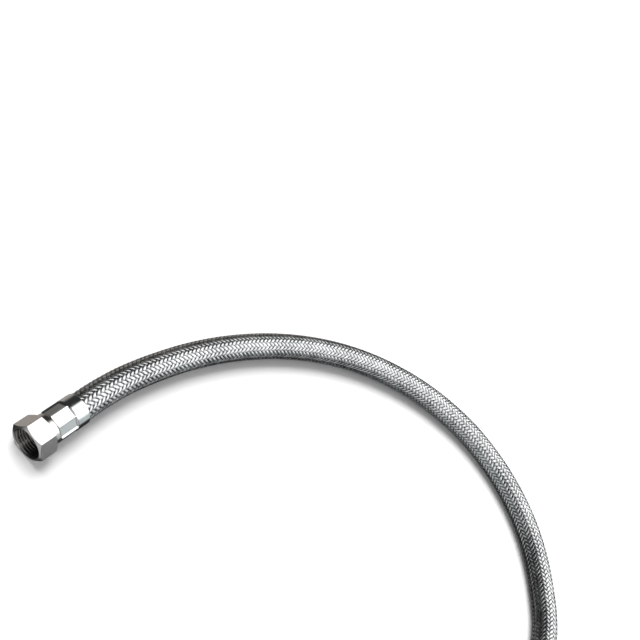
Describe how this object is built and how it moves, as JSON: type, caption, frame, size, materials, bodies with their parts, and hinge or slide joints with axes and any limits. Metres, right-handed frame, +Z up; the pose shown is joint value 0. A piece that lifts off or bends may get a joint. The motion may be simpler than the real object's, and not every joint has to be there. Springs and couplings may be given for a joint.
{
  "type": "flexible tap hose",
  "caption": "Flexible braided tap hose lying in a wide bend, with a crimped ferrule and a loose hexagonal union nut at each end.",
  "frame": {"origin": "on the ground under the middle of the bottom flat of union nut A", "axes": "+X along fitting A from its mouth towards the hose, +Z up"},
  "size_m": [0.3279, 0.3992, 0.024],
  "materials": {
    "braid_steel": "bright drawn stainless wire, woven",
    "liner_rubber": "smooth black rubber",
    "ferrule_steel": "polished stainless, pressed flats",
    "tail_brass": "turned brass",
    "nut_nickel": "nickel plated, lightly brushed",
    "washer_rubber": "matt black rubber"
  },
  "bodies": {
    "hose": {"braid_sleeve": "braid_steel", "liner_tube": "liner_rubber", "crimp_ferrule_a": "ferrule_steel", "crimp_ferrule_b": "ferrule_steel", "barbed_tail_a": "tail_brass", "barbed_tail_b": "tail_brass"},
    "nut_a": {"union_nut_a": "nut_nickel", "sealing_washer_a": "washer_rubber"},
    "nut_b": {"union_nut_b": "nut_nickel", "sealing_washer_b": "washer_rubber"}
  },
  "joints": [
    {"name": "nut_a_spin", "type": "hinge", "parent": "hose", "child": "nut_a", "pos_m": [0, 0, 0.012], "axis": [-1, 0, 0], "continuous": true},
    {"name": "nut_b_spin", "type": "hinge", "parent": "hose", "child": "nut_b", "pos_m": [0.1404, -0.3714, 0.012], "axis": [-1, 0, 0], "continuous": true}
  ]
}
